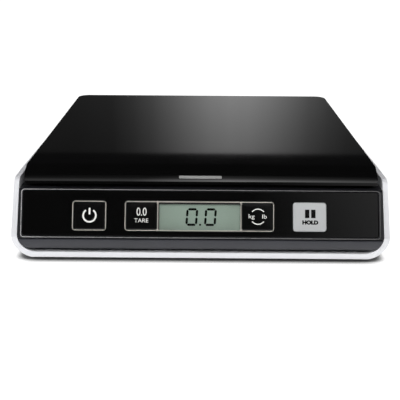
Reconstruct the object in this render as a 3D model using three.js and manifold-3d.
// Platform shipping scale: a square weighing platform on a single-point load cell, in a black upper
// housing that sits in a silver cradle. A sloping glossy panel at the front holds four keys and a
// liquid crystal display. Three AAA cells lie behind a hinged door in the base, and a USB socket
// opens through the rear wall. Millimetres, +Z up, +Y to the rear; the origin is on the surface that
// the feet stand on, under the centre of the whole scale.
import * as THREE from "three";
import { mergeVertices } from "three/addons/utils/BufferGeometryUtils.js";
import Module from "manifold-3d";

const wasm = await Module();
wasm.setup();

// ---- Driving dimensions ----
const GAP = 0.3; // clearance between neighbouring pieces
const TOTAL_HEIGHT = 51;
const TOTAL_DEPTH = 220;
const REAR = TOTAL_DEPTH / 2;
const FRONT = -REAR;

const platform = {
  width: 203,
  front: -95.5,
  back: 107.5,
  top: TOTAL_HEIGHT,
  skirtBottom: 42.2,
  noseRadius: 13, // the front edge rolls down on this radius, through this angle
  noseAngle: THREE.MathUtils.degToRad(70),
  wall: 2.2,
  rearCorner: 8,
  frontCorner: 1.2,
};

const cradle = {
  halfTop: 107.1,
  halfLow: 108,
  wallTop: 45.4,
  rearTop: 41.5,
  levelTo: -70, // the side walls' top edges fall from here to the rear
  bottom: 1.6,
  corner: 13.5,
  innerHalfTop: 104.1,
  innerHalfLow: 104.7,
  rimTop: 5.7, // the front and rear rims stand up to here
  innerCorner: 10.4,
  floorTop: 4,
  rimDepth: 4,
  front: FRONT + 1.8,
  setBack: 0.9, // the side walls' front edges lie this far behind the sloping face
  setBackEnd: 15, // and leave it below this height
  frontCorner: 3,
};

const housing = {
  halfTop: 103.8,
  halfLow: 104.4,
  top: 40.1,
  bottom: 6.5,
  corner: 10,
  ledgeFront: platform.front - 2.6,
  back: REAR - 0.5,
  deck: 2.4,
  side: 2.2,
  faceWall: 4.5,
};

// The sloping face leans back from the vertical by this angle.
const FACE_LEAN = THREE.MathUtils.degToRad(25);
const faceLength = 28.2; // from the ledge down to the crease above the chin
const panel = { width: 202.6, height: 25.7, corner: 1.4, recess: 0.3, thickness: 1.8, fromTop: 1.0 };
const PANEL_CENTRE_DOWN = panel.fromTop + panel.height / 2;
// The key row's centre lies this far below the panel's centre and this far to its left.
const keyRowDrop = 1.4;
const keyRowShift = 0.7;

const frameRing = { width: 85.1, height: 16.9, line: 0.6, corner: 1.8, divider: 23.75 };
const squareRing = { width: 19.3, height: 16.9, line: 0.6, corner: 1.8 };
const holdKey = { width: 18.9, height: 16.5, corner: 1.6 };
// The middles of the power key, the display and the hold key.
const [POWER_X, DISPLAY_X, HOLD_X] = [-62.9, 0, 62.9].map((x) => x - keyRowShift);
const key = {
  base: 0.1,
  peak: 0.8,
  shoulder: 0.7,
  back: -2.2,
  flangeFront: -2.5,
  flangeBack: -3.3,
  stemR: 2,
  stemEnd: -6,
};
const keyOpening = { width: 22, height: 20 }; // in the housing behind the panel
const board = { width: 170, height: 22, front: -10.8, thickness: 1.6, screwX: 80 };
const tact = { side: 6, front: -7.2, bore: 1.95, boreEnd: -9.3 };
const plunger = { r: 1.6, front: -6.3, end: -8.4 };
const boardPost = { r: 3, top: -5.5 };
const display = { width: 48.4, height: 18.2, front: -3, back: -5.2, holderWidth: 49.4, holderHeight: 19 };

const cell = { width: 12.7, height: 12.7, length: 80, bottom: 14, centreY: 6, holeR: 2.4 };
const cellFront = cell.centreY - cell.length / 2;
const cellRear = cell.centreY + cell.length / 2;
const fixedHoles = [cellFront + 6.5, cellFront + 18.5];
const freeHoles = [cellRear - 18.5, cellRear - 6.5];
const cellScrew = { headR: 3.6, head: 3, shankR: 2, socketR: 1.7, socket: 1.6, bore: 4.2 };
const stopScrew = { y: cellRear - 3, r: 2.4, bottom: 6, top: cell.bottom - 0.7, nutR: 4, nutZ: 10.4, nut: 2 };

// The battery bay's outside; its mouth in the floor is smaller by sill on every side.
const bay = { x0: -86, x1: -29, y0: 24, y1: 64, wall: 2, top: 17, sill: 1 };
const bayMiddleY = (bay.y0 + bay.y1) / 2;
const aaa = { r: 5.25, length: 43.3, nub: 1, nubR: 1.9, pitch: 11.2, z: 9.1 };
const contact = { thickness: 0.5, height: 6, springZ: 8, nubZ: 6.6 };
const door = { thickness: 1.8, hingeX: bay.x1 - bay.sill - GAP };
// The door's hinge tabs turn between the rows of cells.
const tab = { half: 2, thickness: 1, reach: 2.2, root: 1.8, rootWidth: 1.4 };
const hingeTabs = [bayMiddleY - aaa.pitch / 2, bayMiddleY + aaa.pitch / 2];
const tongue = { half: 6, thickness: 1.4, height: 2 };
const notch = { r: 8, depth: 1.4, outside: 3 };
const label = { x0: 20, x1: 84, y0: 26, y1: 62, depth: 0.5, film: 0.25, margin: 0.4 };

const foot = { r: 7, top: 2.3, x: 86, y0: -92, y1: 94 };
const post = { x: 80, y0: -66, y1: 82, r: 4.2, bossR: 5, joint: 11 };
const housingScrew = { headR: 2.9, shankR: 1.5, holeR: 1.9, bore: 3.5, boreTop: 6.6, head: 4.2, tip: 26 };
const stopPad = { x: 84, y0: -66, y1: 94, r: 4, height: 1.2 };
const hubWell = { half: 18, margin: 9, corner: 3 };
const usb = { x: 42, width: 7.8, height: 4, length: 9.4, wall: 0.5, mouthWidth: 10.4, mouthHeight: 6.2 };
const usbBoard = { z: 12, width: 24, length: 20, thickness: 1.2, postX: 8.5, postYs: [92, 103], postR: 2 };

// ---- Solid helpers: three.js shapes turned into manifold-3d solids ----
function solid(geometry, matrix = new THREE.Matrix4()) {
  const bare = geometry.index ? geometry.toNonIndexed() : geometry.clone();
  for (const name of Object.keys(bare.attributes)) {
    if (name !== "position") bare.deleteAttribute(name);
  }
  bare.applyMatrix4(matrix);
  const merged = mergeVertices(bare, 1e-4);
  return new wasm.Manifold(
    new wasm.Mesh({
      numProp: 3,
      vertProperties: merged.attributes.position.array,
      triVerts: new Uint32Array(merged.index.array),
    }),
  );
}

function box(x0, x1, y0, y1, z0, z1) {
  const shape = new THREE.BoxGeometry(x1 - x0, y1 - y0, z1 - z0);
  const centre = [(x0 + x1) / 2, (y0 + y1) / 2, (z0 + z1) / 2];
  return solid(shape, new THREE.Matrix4().makeTranslation(...centre));
}

// Maps an outline's plane and its extrusion direction onto the part's axes.
const PLANES = {
  z: [new THREE.Vector3(1, 0, 0), new THREE.Vector3(0, 1, 0), new THREE.Vector3(0, 0, 1)],
  x: [new THREE.Vector3(0, 1, 0), new THREE.Vector3(0, 0, 1), new THREE.Vector3(1, 0, 0)],
  y: [new THREE.Vector3(1, 0, 0), new THREE.Vector3(0, 0, 1), new THREE.Vector3(0, -1, 0)],
};

// The outline, extruded between two places on an axis. On y the outline is (x, z), on x it is (y, z).
function prism(axis, outline, from, to, curveSegments = 8) {
  const geometry = new THREE.ExtrudeGeometry(outline, {
    depth: to - from,
    bevelEnabled: false,
    curveSegments,
  });
  const matrix = new THREE.Matrix4().makeBasis(...PLANES[axis]);
  const start = axis === "y" ? -to : from;
  matrix.multiply(new THREE.Matrix4().makeTranslation(0, 0, start));
  return solid(geometry, matrix);
}

function rounded(x0, x1, y0, y1, r) {
  const s = new THREE.Shape();
  s.moveTo(x0 + r, y0);
  s.lineTo(x1 - r, y0);
  s.absarc(x1 - r, y0 + r, r, -Math.PI / 2, 0, false);
  s.lineTo(x1, y1 - r);
  s.absarc(x1 - r, y1 - r, r, 0, Math.PI / 2, false);
  s.lineTo(x0 + r, y1);
  s.absarc(x0 + r, y1 - r, r, Math.PI / 2, Math.PI, false);
  s.lineTo(x0, y0 + r);
  s.absarc(x0 + r, y0 + r, r, Math.PI, 1.5 * Math.PI, false);
  return s;
}

function plate(x0, x1, y0, y1, z0, z1, r, segments = 5) {
  return prism("z", rounded(x0, x1, y0, y1, r), z0, z1, segments);
}

// A plate centred on (x, y).
function tile(x, y, width, height, z0, z1, r = 0) {
  const [a, b, c, d] = [x - width / 2, x + width / 2, y - height / 2, y + height / 2];
  return r ? plate(a, b, c, d, z0, z1, r) : box(a, b, c, d, z0, z1);
}

function rod(x, y, r, z0, z1, segments = 20, topR = r) {
  const geometry = new THREE.CylinderGeometry(topR, r, z1 - z0, segments);
  const matrix = new THREE.Matrix4().makeTranslation(x, y, (z0 + z1) / 2);
  return solid(geometry, matrix.multiply(new THREE.Matrix4().makeRotationX(Math.PI / 2)));
}

// A rod between two heights given in either order.
function spindle(x, y, r, a, b, segments) {
  return rod(x, y, r, Math.min(a, b), Math.max(a, b), segments);
}

function rodAlongX(x0, x1, y, z, r, segments = 20) {
  const geometry = new THREE.CylinderGeometry(r, r, x1 - x0, segments);
  const matrix = new THREE.Matrix4().makeTranslation((x0 + x1) / 2, y, z);
  return solid(geometry, matrix.multiply(new THREE.Matrix4().makeRotationZ(Math.PI / 2)));
}

const union = (parts) => parts.reduce((a, b) => a.add(b));
const cut = (body, tools) => tools.reduce((a, b) => a.subtract(b), body);

// ---- The group and its materials ----
const scale = new THREE.Group();
const paint = (color, roughness, metalness) =>
  new THREE.MeshStandardMaterial({ color, roughness, metalness });
const looks = {
  gloss: paint(0x0b0b0c, 0.15, 0),
  satin: paint(0x17171a, 0.45, 0),
  silver: paint(0xd9dade, 0.3, 0.4),
  trim: paint(0xaaa8a2, 0.3, 0.6),
  key: paint(0x0e0e0f, 0.25, 0),
  silverKey: paint(0xc9cbce, 0.35, 0.3),
  window: paint(0xdfe6e2, 0.05, 0),
  glass: paint(0x8fa394, 0.25, 0),
  whitePlastic: paint(0xe6e6e2, 0.5, 0),
  board: paint(0x1c5a33, 0.4, 0),
  blackPlastic: paint(0x1a1a1a, 0.5, 0),
  aluminium: paint(0xbfc2c5, 0.35, 0.9),
  steel: paint(0xb9bcc0, 0.3, 1),
  rubber: paint(0x202022, 0.9, 0),
  cable: paint(0x2a2a2c, 0.6, 0),
  battery: paint(0x2c4a78, 0.35, 0.3),
};

function add(name, body, look, group = scale) {
  const mesh = body.getMesh();
  const geometry = new THREE.BufferGeometry();
  geometry.setAttribute("position", new THREE.BufferAttribute(mesh.vertProperties, 3));
  geometry.setIndex(new THREE.BufferAttribute(mesh.triVerts, 1));
  geometry.computeVertexNormals();
  const made = new THREE.Mesh(geometry, looks[look]);
  made.name = name;
  group.add(made);
}

// The frame of the sloping face: x across, y up the slope, z out of the face. z is 0 on the face.
const faceFrame = new THREE.Group();
faceFrame.rotation.x = Math.PI / 2 - FACE_LEAN;
faceFrame.position.set(
  0,
  housing.ledgeFront - PANEL_CENTRE_DOWN * Math.sin(FACE_LEAN),
  housing.top - PANEL_CENTRE_DOWN * Math.cos(FACE_LEAN),
);
faceFrame.updateMatrix();
scale.add(faceFrame);
const toFace = faceFrame.matrix;

// A solid made in the face's frame, moved into the part's frame.
const onFace = (body) => body.transform(toFace.elements);

// How far forward the face is at a height, moved out of its plane by offset.
function faceY(z, offset = 0) {
  const onPlane = housing.ledgeFront - (housing.top - z) * Math.tan(FACE_LEAN);
  return onPlane - offset / Math.cos(FACE_LEAN);
}

// A U section in the XZ plane: straight drafted sides over a flat bottom with round corners.
function uSection(halfTop, halfLow, top, bottom, r) {
  const s = new THREE.Shape();
  s.moveTo(-halfTop, top);
  s.lineTo(-halfLow, bottom + r);
  s.absarc(-halfLow + r, bottom + r, r, Math.PI, 1.5 * Math.PI, false);
  s.lineTo(halfLow - r, bottom);
  s.absarc(halfLow - r, bottom + r, r, 1.5 * Math.PI, 2 * Math.PI, false);
  s.lineTo(halfTop, top);
  s.closePath();
  return s;
}

function polygon(points) {
  return new THREE.Shape(points.map(([a, b]) => new THREE.Vector2(a, b)));
}

// ---- Weighing platform ----
// Side view of the platform, shrunk by inset on its top and its ends.
function platformSide(inset, bottom) {
  const { noseRadius, noseAngle } = platform;
  const centreY = platform.front + noseRadius * Math.sin(noseAngle) + 0.1;
  const r = noseRadius - inset;
  const s = new THREE.Shape();
  s.moveTo(platform.back - inset, bottom);
  s.lineTo(platform.back - inset, platform.top - inset);
  s.lineTo(centreY, platform.top - inset);
  s.absarc(centreY, platform.top - noseRadius, r, Math.PI / 2, Math.PI / 2 + noseAngle, false);
  s.lineTo(centreY - r * Math.sin(noseAngle) - 0.1, bottom);
  s.closePath();
  return s;
}

function platformPlan(inset) {
  const half = platform.width / 2 - inset;
  const rear = platform.rearCorner - inset;
  const nose = Math.max(platform.frontCorner - inset, 0.3);
  const [front, back] = [platform.front + inset, platform.back - inset];
  const s = new THREE.Shape();
  s.moveTo(-half + nose, front);
  s.lineTo(half - nose, front);
  s.absarc(half - nose, front + nose, nose, -Math.PI / 2, 0, false);
  s.lineTo(half, back - rear);
  s.absarc(half - rear, back - rear, rear, 0, Math.PI / 2, false);
  s.lineTo(-half + rear, back);
  s.absarc(-half + rear, back - rear, rear, Math.PI / 2, Math.PI, false);
  s.lineTo(-half, front + nose);
  s.absarc(-half + nose, front + nose, nose, Math.PI, 1.5 * Math.PI, false);
  return s;
}

function platformBlock(inset, bottom) {
  const half = platform.width / 2;
  const side = prism("x", platformSide(inset, bottom), -half, half, 14);
  return side.intersect(prism("z", platformPlan(inset), bottom, platform.top, 6));
}

const support = {
  half: 93,
  front: -76,
  back: 102,
  top: platform.top - platform.wall - GAP,
  plate: 2,
  ribBottom: 42.8,
  rib: 2,
  ribInset: 4, // from the plate's edges to the outer ribs
  ribPitch: 56, // from the outer cross ribs to the inner ones
  hubHalf: 12,
  hubMargin: 6,
};
const hubSeat = 35; // the platform screws' heads bear here
const pedestal = { half: 13, margin: 7, seat: 7.8 }; // carries the load cell's fixed end

function buildPlatform() {
  const shell = platformBlock(0, platform.skirtBottom).subtract(
    platformBlock(platform.wall, platform.skirtBottom - 1),
  );
  add("platform_cover", shell, "gloss");

  const { half, front, back, top, rib, ribBottom, ribPitch, hubHalf, hubMargin } = support;
  const under = top - support.plate;
  const parts = [plate(-half, half, front, back, under, top, 5)];
  const ribTop = under + 0.5;
  const edge = half - support.ribInset;
  const [ribFront, ribBack] = [front + support.ribInset, back - support.ribInset];
  for (const x of [-edge, -half / 3, half / 3, edge]) {
    parts.push(box(x - rib / 2, x + rib / 2, ribFront, ribBack, ribBottom, ribTop));
  }
  for (const y of [ribFront, ribFront + ribPitch, ribBack - ribPitch, ribBack]) {
    parts.push(box(-edge, edge, y - rib / 2, y + rib / 2, ribBottom, ribTop));
  }
  const hubBottom = cell.bottom + cell.height + GAP;
  const [hubFront, hubBack] = [freeHoles[0] - hubMargin, freeHoles[1] + hubMargin];
  parts.push(box(-hubHalf, hubHalf, hubFront, hubBack, hubBottom, ribTop));
  const holes = freeHoles.flatMap((y) => [
    rod(0, y, cell.holeR, hubBottom - 1, top + 1),
    rod(0, y, cellScrew.bore, hubSeat, top + 1),
  ]);
  add("platform_support", cut(union(parts), holes), "blackPlastic");
}

// ---- Load cell ----
function buildLoadCell() {
  const { width, bottom, height, centreY, holeR } = cell;
  const z = bottom + height / 2;
  const lobe = { r: 4.4, offset: 9, slot: 1 };
  const beam = box(-width / 2, width / 2, cellFront, cellRear, bottom, bottom + height);
  const tools = [
    rodAlongX(-width, width, centreY - lobe.offset, z, lobe.r),
    rodAlongX(-width, width, centreY + lobe.offset, z, lobe.r),
    box(-width, width, centreY - lobe.offset, centreY + lobe.offset, z - lobe.slot, z + lobe.slot),
    ...[...fixedHoles, ...freeHoles].map((y) => rod(0, y, holeR, bottom - 1, bottom + height + 1)),
  ];
  add("load_cell", cut(beam, tools), "aluminium");

  fixedHoles.forEach((y, i) => {
    add(`load_cell_screw_front_${i + 1}`, capScrew(y, pedestal.seat - 0.4, -1, 24), "steel");
  });
  freeHoles.forEach((y, i) => {
    add(`load_cell_screw_rear_${i + 1}`, capScrew(y, hubSeat + GAP, 1, 17), "steel");
  });
  const shaft = rod(0, stopScrew.y, stopScrew.r, stopScrew.bottom, stopScrew.top);
  const nut = rod(0, stopScrew.y, stopScrew.nutR, stopScrew.nutZ, stopScrew.nutZ + stopScrew.nut, 6);
  add("overload_stop_screw", shaft.add(nut), "steel");
}

// A socket-head screw whose head bears at seat. Its head is above the shank when way is 1, and
// below it when way is -1.
function capScrew(y, seat, way, tip) {
  const { headR, head, shankR, socketR, socket } = cellScrew;
  const body = union([
    spindle(0, y, headR, seat, seat + way * head),
    spindle(0, y, shankR, tip, seat + way * 0.1),
  ]);
  return body.subtract(spindle(0, y, socketR, seat + way * (head - socket), seat + way * (head + 1), 6));
}

// ---- Silver cradle: floor, side walls and low front and rear rims ----
const postPlaces = [-1, 1].flatMap((side) => [post.y0, post.y1].map((y) => [side * post.x, y]));
const footPlaces = [-1, 1].flatMap((side) => [foot.y0, foot.y1].map((y) => [side * foot.x, y]));

// Side view of the cradle: a sloping front edge that turns under in a small nose.
function cradleSide() {
  const { wallTop, rearTop, levelTo, bottom, rimTop, front, setBack, setBackEnd, frontCorner } = cradle;
  const topY = faceY(wallTop, -setBack);
  const shoulder = wallTop - frontCorner;
  const s = new THREE.Shape();
  s.moveTo(REAR, rearTop);
  s.lineTo(levelTo, wallTop);
  s.lineTo(topY + frontCorner, wallTop);
  s.quadraticCurveTo(topY, wallTop, faceY(shoulder, -setBack), shoulder);
  s.lineTo(faceY(setBackEnd, -setBack), setBackEnd);
  s.lineTo(front, rimTop);
  s.lineTo(front, bottom + 1.5);
  s.quadraticCurveTo(front, bottom, front + 1.5, bottom);
  s.lineTo(REAR - 1.5, bottom);
  s.quadraticCurveTo(REAR, bottom, REAR, bottom + 1.5);
  s.closePath();
  return s;
}

function cradleBody() {
  const c = cradle;
  const section = uSection(c.halfTop, c.halfLow, c.wallTop, c.bottom, c.corner);
  const outer = prism("y", section, FRONT - 1, REAR + 1);
  const shell = outer.intersect(prism("x", cradleSide(), -c.halfLow - 1, c.halfLow + 1));
  const drop = c.wallTop + 5;
  const through = uSection(c.innerHalfTop, c.innerHalfLow, drop, c.rimTop, c.innerCorner);
  const room = uSection(c.innerHalfTop, c.innerHalfLow, drop, c.floorTop, c.innerCorner);
  return cut(shell, [
    prism("y", through, FRONT - 5, REAR + 5),
    prism("y", room, FRONT + c.rimDepth, REAR - c.rimDepth),
  ]);
}

function buildCradle() {
  const { bottom, floorTop } = cradle;
  const below = floorTop - 0.5;
  // Load-cell pedestal, overload-stop boss, screw towers, battery bay and USB board posts.
  const [y0, y1] = [fixedHoles[0] - pedestal.margin, fixedHoles[1] + pedestal.margin];
  const parts = [
    cradleBody(),
    box(-pedestal.half, pedestal.half, y0, y1, below, cell.bottom - GAP),
    rod(0, stopScrew.y, post.bossR, below, stopScrew.nutZ - GAP),
    box(bay.x0, bay.x1, bay.y0, bay.y1, below, bay.top),
  ];
  for (const [x, y] of postPlaces) parts.push(rod(x, y, post.bossR, below, post.joint));
  for (const side of [-1, 1]) {
    for (const y of usbBoard.postYs) {
      const x = usb.x + side * usbBoard.postX;
      parts.push(rod(x, y, usbBoard.postR, below, usbBoard.z - GAP, 12));
    }
  }
  const tools = [...bayCuts(), rod(0, stopScrew.y, stopScrew.r + GAP, stopScrew.bottom - 0.4, post.joint)];
  for (const y of fixedHoles) {
    tools.push(rod(0, y, cell.holeR, bottom - 1, cell.bottom));
    tools.push(rod(0, y, cellScrew.bore, bottom - 1, pedestal.seat));
  }
  for (const [x, y] of postPlaces) {
    tools.push(rod(x, y, housingScrew.holeR, bottom - 1, post.joint + 1, 16));
    tools.push(rod(x, y, housingScrew.bore, bottom - 1, housingScrew.boreTop, 16));
  }
  for (const [x, y] of footPlaces) tools.push(rod(x, y, foot.r + GAP, bottom - 1, foot.top + GAP, 24));
  tools.push(box(label.x0, label.x1, label.y0, label.y1, bottom - 1, bottom + label.depth));
  add("lower_housing", cut(union(parts), tools), "silver");
  const film = rounded(
    label.x0 + label.margin,
    label.x1 - label.margin,
    label.y0 + label.margin,
    label.y1 - label.margin,
    1,
  );
  const filmBottom = bottom + (label.depth - label.film) / 2;
  add("rating_label", prism("z", film, filmBottom, filmBottom + label.film, 4), "trim");
}

// The battery bay's room and mouth, slots for the door's hinge tabs, the recess that the door's
// tongue springs into, and a finger notch beside it.
function bayCuts() {
  const { bottom, floorTop } = cradle;
  const { x0, x1, y0, y1, sill, wall, top } = bay;
  const slot = tab.half + 1;
  const tools = [
    box(x0 + wall, x1 - wall, y0 + wall, y1 - wall, bottom - 1, top - wall),
    box(x0 + sill, x1 - sill, y0 + sill, y1 - sill, bottom - 1, floorTop),
    box(x0 + sill, x0 + wall + 1, bayMiddleY - tongue.half - 1, bayMiddleY + tongue.half + 1, bottom, 7.5),
    rod(x0 - notch.outside, bayMiddleY, notch.r, bottom - 1, bottom + notch.depth),
  ];
  for (const y of hingeTabs) tools.push(box(x1 - wall - 1, x1 + 1, y - slot, y + slot, floorTop, 9));
  return tools;
}

// ---- Black upper housing: deck, sloping face, chin and rear wall ----
function housingSide() {
  const { top, bottom, ledgeFront, back } = housing;
  const creaseZ = top - faceLength * Math.cos(FACE_LEAN);
  const creaseY = faceY(creaseZ);
  const s = new THREE.Shape();
  s.moveTo(back, top);
  s.lineTo(ledgeFront + 0.6, top);
  s.lineTo(ledgeFront - 0.25, top - 0.6);
  s.lineTo(creaseY, creaseZ);
  s.lineTo(creaseY + 0.7, creaseZ - 0.4);
  s.lineTo(creaseY + 0.7, creaseZ - 0.9);
  s.lineTo(creaseY + 0.25, creaseZ - 1.3);
  s.quadraticCurveTo(creaseY, bottom + 2.4, creaseY + 2.6, bottom);
  s.lineTo(back, bottom);
  s.closePath();
  return s;
}

function housingBody() {
  const h = housing;
  const section = uSection(h.halfTop, h.halfLow, h.top, h.bottom, h.corner);
  const sides = prism("x", housingSide(), -h.halfLow - 1, h.halfLow + 1);
  const outer = prism("y", section, FRONT - 2, h.back).intersect(sides);
  const under = h.top - h.deck;
  const open = h.bottom - 5;
  const inside = polygon([
    [h.back - h.side, under],
    [faceY(under, -h.faceWall), under],
    [faceY(h.bottom + 8, -h.faceWall), h.bottom + 8],
    [faceY(h.bottom + 8, -h.faceWall) - 0.5, open],
    [h.back - h.side, open],
  ]);
  const half = h.halfTop - h.side;
  return outer.subtract(prism("x", inside, -half, half));
}

// Openings behind the panel for the keys' flanges and the display, in the face's frame.
function faceOpenings() {
  const y = -keyRowDrop;
  const deep = -housing.faceWall - 3;
  const pocket = panel.recess + panel.thickness + 0.2;
  const { width, height, corner } = panel;
  const tools = [tile(0, 0, width + 2 * GAP, height + 2 * GAP, -pocket, 4, corner + GAP)];
  for (const x of [POWER_X, HOLD_X]) {
    tools.push(tile(x, y, keyOpening.width, keyOpening.height, deep, 0));
  }
  tools.push(tile(DISPLAY_X, y, frameRing.width + 1.6, keyOpening.height, deep, 0));
  for (const side of [-1, 1]) {
    tools.push(rod(side * board.screwX, 0, housingScrew.shankR, board.front - 1, boardPost.top, 12));
  }
  return tools;
}

function buildHousing() {
  const h = housing;
  const under = h.top - h.deck;
  const parts = [housingBody()];
  for (const [x, y] of postPlaces) parts.push(rod(x, y, post.r, post.joint + GAP, under + 0.5, 16));
  for (const x of [-stopPad.x, stopPad.x]) {
    for (const y of [stopPad.y0, stopPad.y1]) {
      parts.push(rod(x, y, stopPad.r, h.top - 0.5, h.top + stopPad.height, 16));
    }
  }
  for (const side of [-1, 1]) {
    const stub = rod(side * board.screwX, 0, boardPost.r, board.front + GAP, -h.faceWall + 0.5, 16);
    parts.push(onFace(stub));
  }
  const { half, margin, corner } = hubWell;
  const usbZ = usbBoard.z + 3.5;
  const [w, tall] = [usb.mouthWidth / 2, usb.mouthHeight / 2];
  const tools = [
    ...faceOpenings().map(onFace),
    plate(-half, half, freeHoles[0] - margin, freeHoles[1] + margin, under - 1, h.top + 1, corner),
    ...postPlaces.map(([x, y]) => rod(x, y, housingScrew.holeR, post.joint - 1, 29, 12)),
    box(usb.x - w, usb.x + w, h.back - 5, h.back + 1, usbZ - tall, usbZ + tall),
  ];
  add("upper_housing", cut(union(parts), tools), "satin");
}

// ---- Front panel, trim rings, keys and display, all in the face's frame ----
function ringSolid(x, ring, cells) {
  const y = -keyRowDrop;
  const front = -panel.recess + 0.15;
  const back = -panel.recess - panel.thickness;
  const body = tile(x, y, ring.width, ring.height, back, front, ring.corner);
  const inner = ring.height - 2 * ring.line;
  return cut(
    body,
    cells.map(([a, b]) => tile(x + (a + b) / 2, y, b - a, inner, back - 1, front + 1, 0.9)),
  );
}

const squareCell = squareRing.width / 2 - squareRing.line;
const frameEdge = frameRing.width / 2 - frameRing.line;
const cellEdge = frameRing.divider + frameRing.line / 2;
const sideCellWidth = frameEdge - cellEdge;
const sideCellCentre = (frameEdge + cellEdge) / 2;
const keyHeight = squareRing.height - 2 * squareRing.line - 2 * GAP;

// A key: a cap with four faces that rise to a low peak, a flange behind the panel, and a stem. The
// flange is wider than the cap by lip, but by inward on the side towards the display.
function keySolid({ x, width, height, corner, lip, inward }) {
  const y = -keyRowDrop;
  const [w, h] = [width / 2, height / 2];
  const cap = tile(x, y, width, height, key.back - 0.3, key.base, corner);
  const pyramid = new THREE.ConeGeometry(Math.SQRT2, key.peak - key.base, 4, 1).rotateY(Math.PI / 4);
  const placed = new THREE.Matrix4()
    .makeTranslation(x, y, (key.base + key.peak) / 2 - 0.02)
    .multiply(new THREE.Matrix4().makeScale(w - key.shoulder, h - key.shoulder, 1))
    .multiply(new THREE.Matrix4().makeRotationX(Math.PI / 2));
  const outward = Math.sign(x - DISPLAY_X);
  const ends = [x + outward * (w + lip), x - outward * (w + inward)];
  return union([
    cap,
    solid(pyramid, placed),
    box(Math.min(...ends), Math.max(...ends), y - h - lip, y + h + lip, key.flangeBack, key.flangeFront),
    rod(x, y, key.stemR, key.stemEnd, key.flangeBack + 0.2, 16),
  ]);
}

const squareKey = { width: 2 * (squareCell - GAP), height: keyHeight, corner: 0.8, lip: 1.1, inward: 1.1 };
const sideKey = { width: sideCellWidth - 2 * GAP, height: keyHeight, corner: 0.8, lip: 1.1, inward: -0.4 };
const keys = [
  { name: "power", x: POWER_X, look: "key", ...squareKey },
  { name: "tare", x: DISPLAY_X - sideCellCentre, look: "key", ...sideKey },
  { name: "units", x: DISPLAY_X + sideCellCentre, look: "key", ...sideKey },
  { name: "hold", x: HOLD_X, look: "silverKey", ...holdKey, lip: 0.7, inward: 0.7 },
];

function buildPanel() {
  const y = -keyRowDrop;
  const front = -panel.recess;
  const back = front - panel.thickness;
  const holes = [];
  for (const [x, inset] of [[POWER_X, squareRing], [DISPLAY_X, frameRing], [HOLD_X, holdKey]]) {
    const [width, height] = [inset.width + 2 * GAP, inset.height + 2 * GAP];
    holes.push(tile(x, y, width, height, back - 1, 1, inset.corner + GAP));
  }
  const glossy = tile(0, 0, panel.width, panel.height, back, front, panel.corner);
  add("front_panel", cut(glossy, holes), "gloss", faceFrame);
  const powerRing = ringSolid(POWER_X, squareRing, [[-squareCell, squareCell]]);
  add("power_button_ring", powerRing, "trim", faceFrame);
  const middle = frameRing.divider - frameRing.line / 2;
  const cells = [
    [-frameEdge, -cellEdge],
    [-middle, middle],
    [cellEdge, frameEdge],
  ];
  add("display_frame", ringSolid(DISPLAY_X, frameRing, cells), "trim", faceFrame);
  for (const k of keys) add(`${k.name}_button`, keySolid(k), k.look, faceFrame);
  const lensHeight = frameRing.height - 2 * frameRing.line - 2 * GAP;
  const lens = tile(DISPLAY_X, y, 2 * (middle - GAP), lensHeight, -2, -0.8, 0.7);
  add("display_window", lens, "window", faceFrame);
  const { width, height, holderWidth, holderHeight } = display;
  add("lcd_module", tile(DISPLAY_X, y, width, height, display.back, display.front, 0.5), "glass", faceFrame);
  const holder = tile(DISPLAY_X, y, holderWidth, holderHeight, board.front + GAP, display.back - GAP);
  const hollow = tile(DISPLAY_X, y, holderWidth - 5, holderHeight - 5, board.front - 1, -7);
  add("lcd_holder", holder.subtract(hollow), "whitePlastic", faceFrame);
}

// ---- Main board and its switches, in the face's frame ----
function buildBoard() {
  const back = board.front - board.thickness;
  const holes = [-1, 1].map((side) => rod(side * board.screwX, 0, 1.6, back - 1, board.front + 1, 12));
  const sheet = tile(0, -0.8, board.width, board.height, back, board.front, 1.5);
  add("main_board", cut(sheet, holes), "board", faceFrame);
  for (const k of keys) {
    const body = tile(k.x, -keyRowDrop, tact.side, tact.side, board.front + GAP, tact.front);
    const bore = rod(k.x, -keyRowDrop, tact.bore, tact.boreEnd, 0, 16);
    add(`${k.name}_switch`, body.subtract(bore), "blackPlastic", faceFrame);
    const stub = rod(k.x, -keyRowDrop, plunger.r, plunger.end, plunger.front, 12);
    add(`${k.name}_switch_plunger`, stub, "whitePlastic", faceFrame);
  }
  [-1, 1].forEach((side, i) => {
    const x = side * board.screwX;
    const screw = rod(x, 0, 2.5, back - 1.8, back - GAP, 16).add(rod(x, 0, 1.15, back - 1, -7, 12));
    const slot = tile(x, 0, 0.7, 4, back - 3, back - 1.2);
    add(`board_screw_${i + 1}`, screw.subtract(slot), "steel", faceFrame);
  });
}

// ---- Batteries, contacts and door ----
function buildBatteries() {
  const w = bay.wall;
  const springSide = bay.x0 + w;
  const contactSide = bay.x1 - w;
  const startX = contactSide - 1.1 - aaa.nub - aaa.length;
  const rows = [-1, 0, 1].map((i) => bayMiddleY + i * aaa.pitch);
  rows.forEach((y, i) => {
    const can = rodAlongX(startX, startX + aaa.length, y, aaa.z, aaa.r);
    const nub = rodAlongX(startX + aaa.length - 0.5, startX + aaa.length + aaa.nub, y, aaa.z, aaa.nubR, 12);
    add(`battery_${i + 1}`, can.add(nub), "battery");
    add(`battery_spring_${i + 1}`, coilSpring(springSide + 1.1, startX - GAP, y, aaa.z), "steel");
  });
  const [y0, y1] = [rows[0] - 4.5, rows[2] + 4.5];
  const { thickness, height, springZ, nubZ } = contact;
  const [springX, nubX] = [springSide + GAP, contactSide - GAP - thickness];
  add("battery_spring_plate", box(springX, springX + thickness, y0, y1, springZ, springZ + height), "steel");
  add("battery_contact_plate", box(nubX, nubX + thickness, y0, y1, nubZ, nubZ + height + 1), "steel");
}

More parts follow.
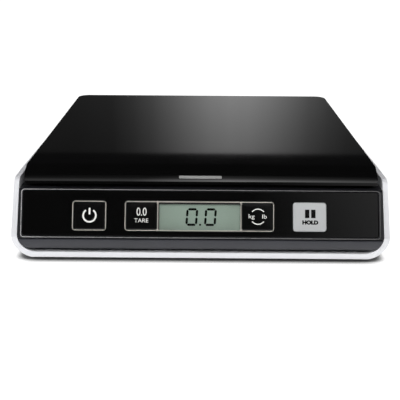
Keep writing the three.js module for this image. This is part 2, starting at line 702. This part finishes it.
// A conical coil of round wire between two places on the X axis.
function coilSpring(x0, x1, y, z) {
  const wire = 0.35;
  const turns = 3;
  const steps = 24;
  const points = [];
  for (let i = 0; i <= steps; i++) {
    const t = i / steps;
    const angle = 2 * Math.PI * turns * t;
    const r = 3.8 - 1.4 * t;
    points.push(
      new THREE.Vector3(
        x0 + wire + (x1 - x0 - 2 * wire) * t,
        y + r * Math.cos(angle),
        z + r * Math.sin(angle),
      ),
    );
  }
  return tube(points, wire, 5, steps);
}

// A closed round tube along a smooth curve through the points.
function tube(points, radius, sides, steps) {
  const section = new THREE.Shape();
  for (let i = 0; i < sides; i++) {
    const angle = (2 * Math.PI * i) / sides;
    section[i ? "lineTo" : "moveTo"](radius * Math.cos(angle), radius * Math.sin(angle));
  }
  section.closePath();
  const geometry = new THREE.ExtrudeGeometry(section, {
    steps,
    extrudePath: new THREE.CatmullRomCurve3(points, false, "centripetal"),
  });
  const body = solid(geometry);
  return body.volume() < 0 ? flipped(body) : body;
}

// The same surface with its faces turned round.
function flipped(body) {
  const mesh = body.getMesh();
  const turned = mesh.triVerts.slice();
  for (let i = 0; i < turned.length; i += 3) {
    [turned[i + 1], turned[i + 2]] = [turned[i + 2], turned[i + 1]];
  }
  return new wasm.Manifold(
    new wasm.Mesh({ numProp: 3, vertProperties: mesh.vertProperties, triVerts: turned }),
  );
}

function buildDoor() {
  const { bottom, floorTop } = cradle;
  const margin = bay.sill + GAP;
  const [x0, x1, y0, y1] = [bay.x0 + margin, door.hingeX, bay.y0 + margin, bay.y1 - margin];
  const parts = [box(x0, x1, y0, y1, bottom, bottom + door.thickness)];
  // Two hinge tabs reach over the floor's inner face, and a latch tongue stands at the free end.
  const tabTop = floorTop + GAP + tab.thickness;
  for (const y of hingeTabs) {
    const [a, b] = [y - tab.half, y + tab.half];
    parts.push(box(x1 - tab.root, x1 - tab.root + tab.rootWidth, a, b, bottom + 1, tabTop));
    parts.push(box(x1 - tab.root, x1 + tab.reach, a, b, floorTop + GAP, tabTop));
  }
  const latch = [x0 + 0.1, x0 + 0.1 + tongue.thickness, bayMiddleY - tongue.half, bayMiddleY + tongue.half];
  parts.push(box(...latch, bottom + 1, floorTop + tongue.height));
  const grips = [0, 1, 2].map((i) => {
    const x = x0 + 5 + i * 2.4;
    return box(x, x + 1, bayMiddleY - 8, bayMiddleY + 8, bottom - 1, bottom + 0.5);
  });
  add("battery_door", cut(union(parts), grips), "silver");
}

// ---- USB board and socket ----
function buildUsb() {
  const { x, width, height, length, wall } = usb;
  const back = housing.back - housing.side - 1;
  const [half, top] = [usbBoard.width / 2, usbBoard.z + usbBoard.thickness];
  add("usb_board", box(x - half, x + half, back - usbBoard.length, back, usbBoard.z, top), "board");
  const [z0, z1] = [top + GAP, top + GAP + height];
  const y1 = housing.back - 0.6;
  const y0 = y1 - length;
  const shell = box(x - width / 2, x + width / 2, y0, y1, z0, z1);
  const inner = width / 2 - wall;
  const mouth = box(x - inner, x + inner, y0 + 2, y1 + 1, z0 + wall, z1 - wall);
  const tongueBar = box(x - 2.4, x + 2.4, y0 + 1, y1 - 1.5, z0 + 1.6, z0 + 2.5);
  add("usb_socket", shell.subtract(mouth).add(tongueBar), "steel");
}

// ---- Feet, housing screws and internal leads ----
function buildFasteners() {
  const corners = ["front_left", "rear_left", "front_right", "rear_right"];
  footPlaces.forEach(([x, y], i) => {
    const pad = rod(x, y, foot.r - 0.6, 0, 0.6, 24, foot.r).add(rod(x, y, foot.r, 0.59, foot.top, 24));
    add(`foot_${corners[i]}`, pad, "rubber");
  });
  postPlaces.forEach(([x, y], i) => {
    const { headR, head, shankR, tip } = housingScrew;
    const screw = rod(x, y, headR, head, head + 2.1, 16).add(rod(x, y, shankR, head + 2, tip, 12));
    const cross = union([tile(x, y, 3.2, 0.7, 3, 5.1), tile(x, y, 0.7, 3.2, 3, 5.1)]);
    add(`housing_screw_${corners[i]}`, screw.subtract(cross), "steel");
  });
}

const at = (x, y, z) => new THREE.Vector3(x, y, z);

function buildLeads() {
  // Each lead ends just short of the main board's rear face.
  const boardBack = (x, up) => at(x, up, board.front - board.thickness - 0.8).applyMatrix4(toFace);
  const near = (x, up) => at(x, up, board.front - board.thickness - 7).applyMatrix4(toFace);
  const lead = (name, points, radius) => add(name, tube(points, radius, 8, 22), "cable");
  lead(
    "load_cell_lead",
    [at(3, cellFront - 0.5, 21), at(3, -44, 21), at(12, -60, 19), near(20, 0), boardBack(20, 0)],
    1.3,
  );
  lead(
    "battery_lead",
    [at(-60, bay.y0 - 0.5, 13), at(-60, 10, 12), at(-58, -45, 10), near(-50, -2), boardBack(-50, -2)],
    1.1,
  );
  lead(
    "usb_lead",
    [at(42, 85.8, 12.6), at(42, 76, 10), at(46, 0, 8), at(50, -60, 9), near(52, -2), boardBack(52, -2)],
    1.4,
  );
}

buildPlatform();
buildLoadCell();
buildCradle();
buildHousing();
buildPanel();
buildBoard();
buildBatteries();
buildDoor();
buildUsb();
buildFasteners();
buildLeads();

export default scale;
